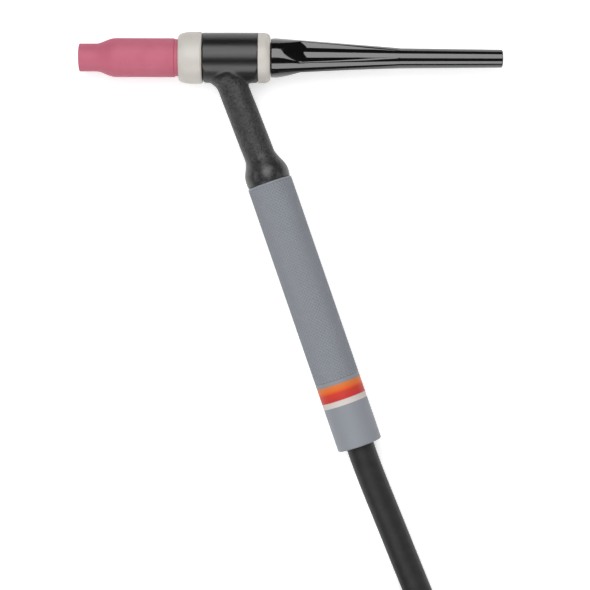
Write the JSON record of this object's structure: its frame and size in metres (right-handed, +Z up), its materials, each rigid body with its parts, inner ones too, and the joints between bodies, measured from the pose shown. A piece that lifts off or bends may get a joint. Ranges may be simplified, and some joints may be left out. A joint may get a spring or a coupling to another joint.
{
  "type": "tig torch",
  "caption": "Gas-cooled TIG welding torch with ceramic cup, long fluted back cap, rigid neck, round handle and a coiled one-piece power cable.",
  "frame": {"origin": "centre of the ceramic cup's mouth, on the head's axis", "axes": "+X along the head's axis from the cup's mouth to the back cap's end, -Y towards the handle and the cable, +Z up from the table on which the torch lies on its side"},
  "size_m": [0.2452, 0.4748, 0.0308],
  "materials": {
    "alumina": "satin",
    "ptfe": "satin",
    "head_rubber": "satin",
    "phenolic": "gloss",
    "brass": "machined",
    "copper": "machined",
    "tungsten": "ground",
    "o_ring_rubber": "matte",
    "handle_plastic": "knurled",
    "label": "printed",
    "cable_rubber": "matte",
    "sleeve_rubber": "matte",
    "crimp_steel": "crimped",
    "tie_fabric": "woven"
  },
  "bodies": {
    "root": {"collet_body": "copper", "collet": "copper", "head_core": "brass", "head_moulding": "head_rubber", "rear_insulator": "ptfe", "neck_tube": "copper", "neck_fitting": "brass", "cable_nut": "brass", "cable_nipple": "brass", "cable_ferrule": "crimp_steel", "insulating_sleeve": "sleeve_rubber", "handle": "handle_plastic", "label_band": "label", "cable_end": "cable_rubber", "power_strands": "copper", "cable_lead": "cable_rubber", "cable_coil": "cable_rubber", "cable_tail": "cable_rubber", "coil_ties": "tie_fabric", "cable_tip": "cable_rubber", "connector_ferrule": "crimp_steel", "connector_nipple": "brass"},
    "cup_seat": {"cup_gasket": "ptfe"},
    "cup": {"ceramic_cup": "alumina"},
    "cap_seal": {"cap_o_ring": "o_ring_rubber"},
    "cap": {"back_cap": "phenolic", "cap_insert": "brass"},
    "electrode": {"tungsten_electrode": "tungsten"},
    "connector": {"connector_nut": "brass"}
  },
  "joints": [
    {"name": "cup_turn", "type": "hinge", "parent": "cup_seat", "child": "cup", "pos_m": [0, 0, 0], "axis": [-1, 0, 0], "range_deg": [0, 2267.8]},
    {"name": "cup_advance", "type": "slide", "parent": "root", "child": "cup_seat", "axis": [-1, 0, 0], "range_m": [0, 0.008]},
    {"name": "cap_turn", "type": "hinge", "parent": "cap_seal", "child": "cap", "pos_m": [0.0881, 0, 0], "axis": [1, 0, 0], "range_deg": [0, 3600.1]},
    {"name": "cap_advance", "type": "slide", "parent": "root", "child": "cap_seal", "axis": [1, 0, 0], "range_m": [0, 0.012]},
    {"name": "electrode_slide", "type": "slide", "parent": "root", "child": "electrode", "axis": [-1, 0, 0], "range_m": [-0.006, 0.017]},
    {"name": "connector_swivel", "type": "hinge", "parent": "root", "child": "connector", "pos_m": [-0.04407, -0.45343, -0.0024], "axis": [-1, 0, 0], "continuous": true}
  ],
  "couplings": [
    {"joint": "cup_turn", "follows": "cup_advance", "rad_per_m": 4947.4},
    {"joint": "cap_turn", "follows": "cap_advance", "rad_per_m": 5236}
  ]
}
